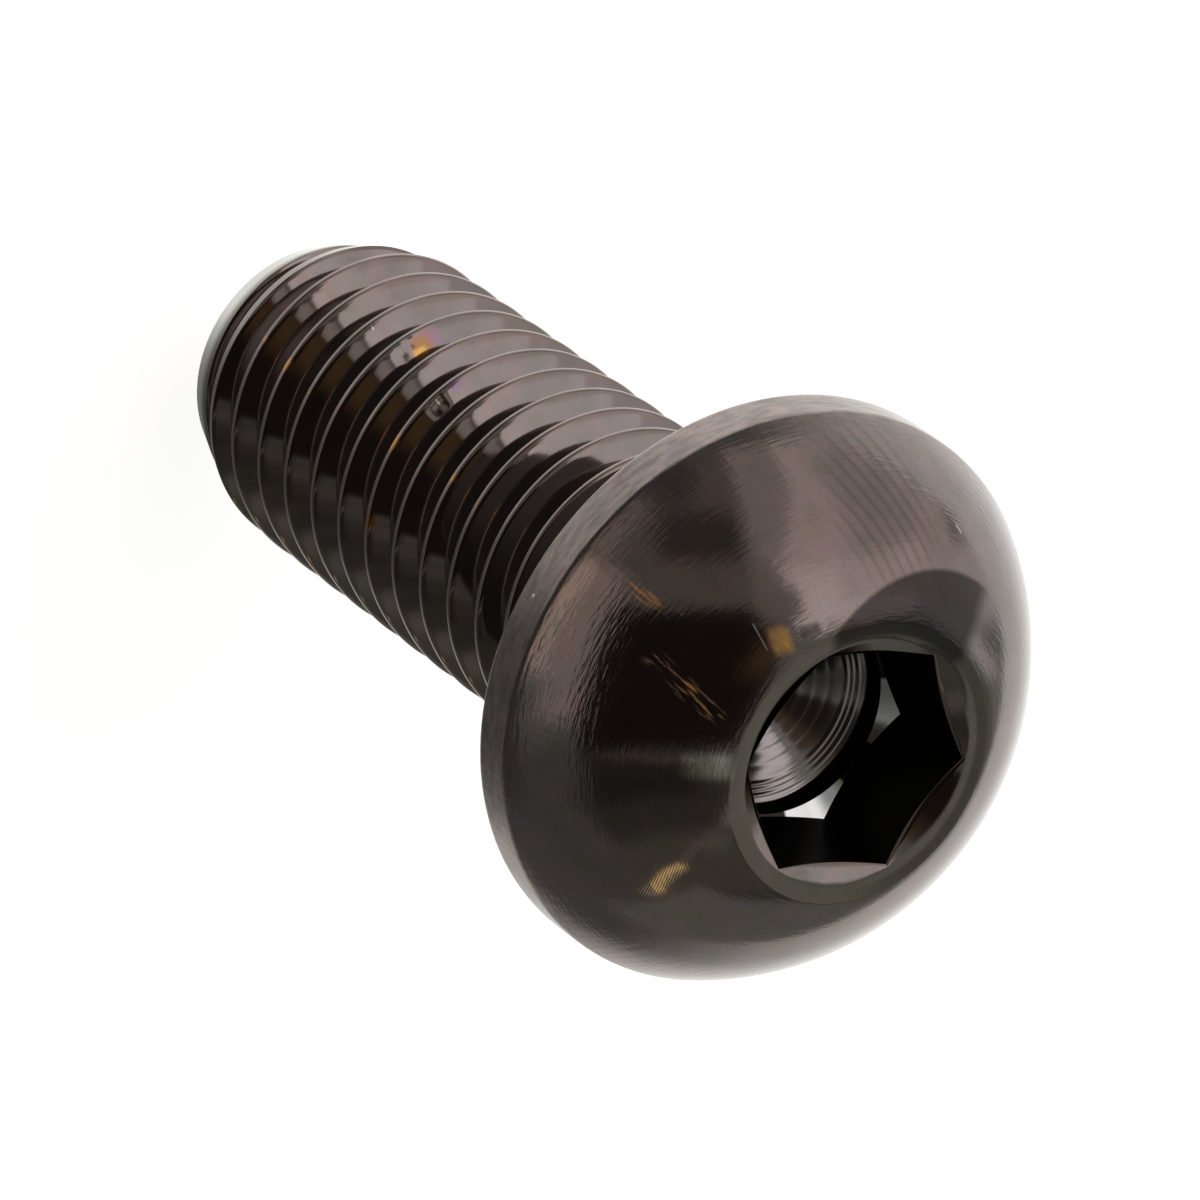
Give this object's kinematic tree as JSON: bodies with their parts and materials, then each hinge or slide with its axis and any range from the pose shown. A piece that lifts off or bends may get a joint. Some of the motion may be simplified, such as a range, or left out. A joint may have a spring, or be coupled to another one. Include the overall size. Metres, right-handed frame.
{
  "type": "brake disc screw",
  "caption": "Button head machine screw with a hexagon socket in its dome and a full metric thread, plated dark; it fastens a brake disc to its hub.",
  "frame": {"origin": "centre of the flat tip face, on which the screw stands", "axes": "+Z along the screw's axis from the tip to the head; two corners of the hexagon lie on the X axis"},
  "size_m": [0.014, 0.014, 0.0245],
  "materials": {
    "plated_steel": "steel with a dark, warm, polished plating"
  },
  "bodies": {
    "root": {"screw": "plated_steel"}
  },
  "joints": []
}
